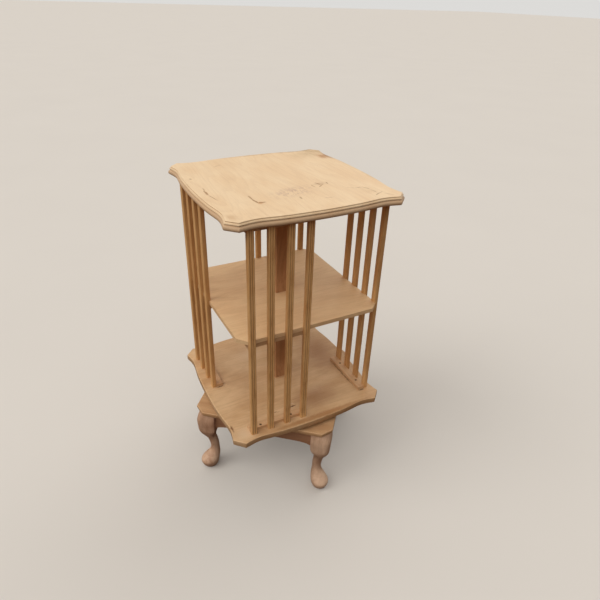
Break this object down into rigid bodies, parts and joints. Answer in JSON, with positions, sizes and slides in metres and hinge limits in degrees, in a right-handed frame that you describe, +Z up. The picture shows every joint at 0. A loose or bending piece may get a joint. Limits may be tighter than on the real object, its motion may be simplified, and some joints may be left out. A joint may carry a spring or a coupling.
{
  "type": "revolving bookcase",
  "caption": "Square revolving bookcase in pale wood with reeded slats on every side, turning on a ball-bearing turntable over a low stand with cabriole legs.",
  "frame": {"origin": "on the floor, on the vertical axis the case turns about", "axes": "+Z up, +X and +Y along the sides of the case at rest; the stand is turned 40 degrees clockwise from them"},
  "size_m": [0.5454, 0.5454, 0.877],
  "materials": {
    "top_wood": "limed and waxed, worn",
    "board_wood": "limed and waxed",
    "slat_wood": "limed, darker than the boards",
    "stand_wood": "limed and waxed",
    "zinc_steel": "zinc plated",
    "ball_steel": "polished"
  },
  "bodies": {
    "stand": {"stand_board": "stand_wood", "apron_1": "stand_wood", "apron_2": "stand_wood", "apron_3": "stand_wood", "apron_4": "stand_wood", "leg_1": "stand_wood", "leg_2": "stand_wood", "leg_3": "stand_wood", "leg_4": "stand_wood", "lower_bearing_plate": "zinc_steel"},
    "case": {"top_board": "top_wood", "middle_shelf": "board_wood", "bottom_board": "board_wood", "post_lower": "slat_wood", "post_upper": "slat_wood", "slat_front_1": "slat_wood", "slat_front_2": "slat_wood", "slat_front_3": "slat_wood", "slat_front_4": "slat_wood", "slat_right_1": "slat_wood", "slat_right_2": "slat_wood", "slat_right_3": "slat_wood", "slat_right_4": "slat_wood", "slat_back_1": "slat_wood", "slat_back_2": "slat_wood", "slat_back_3": "slat_wood", "slat_back_4": "slat_wood", "slat_left_1": "slat_wood", "slat_left_2": "slat_wood", "slat_left_3": "slat_wood", "slat_left_4": "slat_wood", "cleat_bottom_front": "board_wood", "cleat_middle_front": "board_wood", "cleat_top_front": "board_wood", "cleat_bottom_right": "board_wood", "cleat_middle_right": "board_wood", "cleat_top_right": "board_wood", "cleat_bottom_back": "board_wood", "cleat_middle_back": "board_wood", "cleat_top_back": "board_wood", "cleat_bottom_left": "board_wood", "cleat_middle_left": "board_wood", "cleat_top_left": "board_wood", "upper_bearing_plate": "zinc_steel"},
    "ball_ring": {"ball_cage": "zinc_steel", "ball_1": "ball_steel", "ball_2": "ball_steel", "ball_3": "ball_steel", "ball_4": "ball_steel", "ball_5": "ball_steel", "ball_6": "ball_steel", "ball_7": "ball_steel", "ball_8": "ball_steel"}
  },
  "joints": [
    {"name": "case_spin", "type": "hinge", "parent": "stand", "child": "case", "pos_m": [0, 0, 0.244], "axis": [0, 0, 1], "continuous": true},
    {"name": "ball_ring_spin", "type": "hinge", "parent": "stand", "child": "ball_ring", "pos_m": [0, 0, 0.244], "axis": [0, 0, 1], "continuous": true}
  ],
  "couplings": [
    {"joint": "ball_ring_spin", "follows": "case_spin", "ratio": 0.5}
  ]
}
